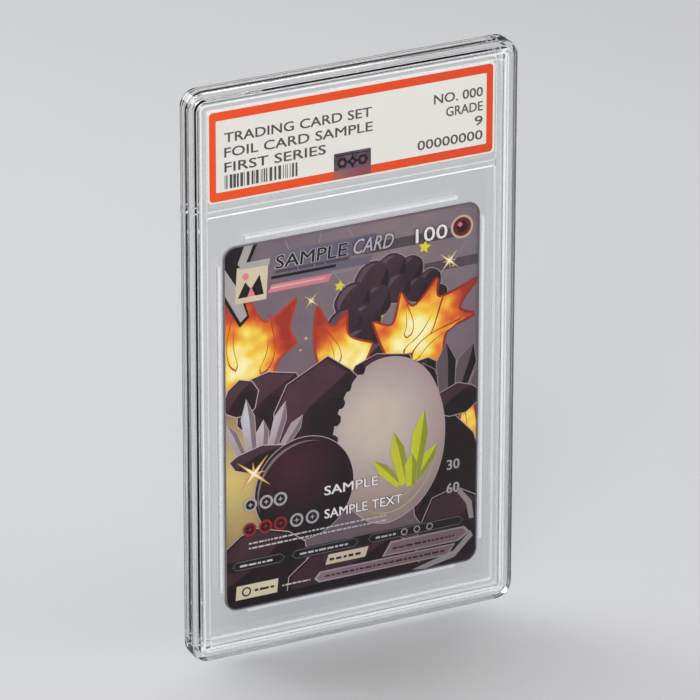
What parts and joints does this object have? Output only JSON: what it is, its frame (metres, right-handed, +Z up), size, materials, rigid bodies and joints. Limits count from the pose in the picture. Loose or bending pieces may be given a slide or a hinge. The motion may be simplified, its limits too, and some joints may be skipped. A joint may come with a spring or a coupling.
{
  "type": "graded card slab",
  "caption": "Clear welded two-shell holder with a raised stacking rim that seals a trading card in a ribbed well under a printed label.",
  "frame": {"origin": "middle of the bottom edge's faces, halfway through the thickness", "axes": "+X across the card to the right as it is read, -Y out of the face that shows the card, +Z up the long side"},
  "size_m": [0.0802, 0.006, 0.136],
  "materials": {
    "clear_polystyrene": "clear, polished",
    "frosted_weld": "clear plastic turned milky by the weld",
    "card_foil": "printed holographic film, glossy",
    "card_paper": "coated card, matt",
    "card_core": "dark opaque core",
    "card_back": "printed, satin",
    "label_paper": "printed, satin",
    "security_foil": "embossed holographic foil"
  },
  "bodies": {
    "case": {"front_shell": "clear_polystyrene", "back_shell": "clear_polystyrene", "weld_seam": "frosted_weld", "label_stock": "label_paper", "label_hologram": "security_foil"},
    "card": {"card_foil_film": "card_foil", "card_front_ply": "card_paper", "card_core": "card_core", "card_back_ply": "card_back"}
  },
  "joints": [
    {"name": "card_float", "type": "slide", "parent": "case", "child": "card", "axis": [0, 0, 1], "range_m": [0, 0.001]}
  ]
}
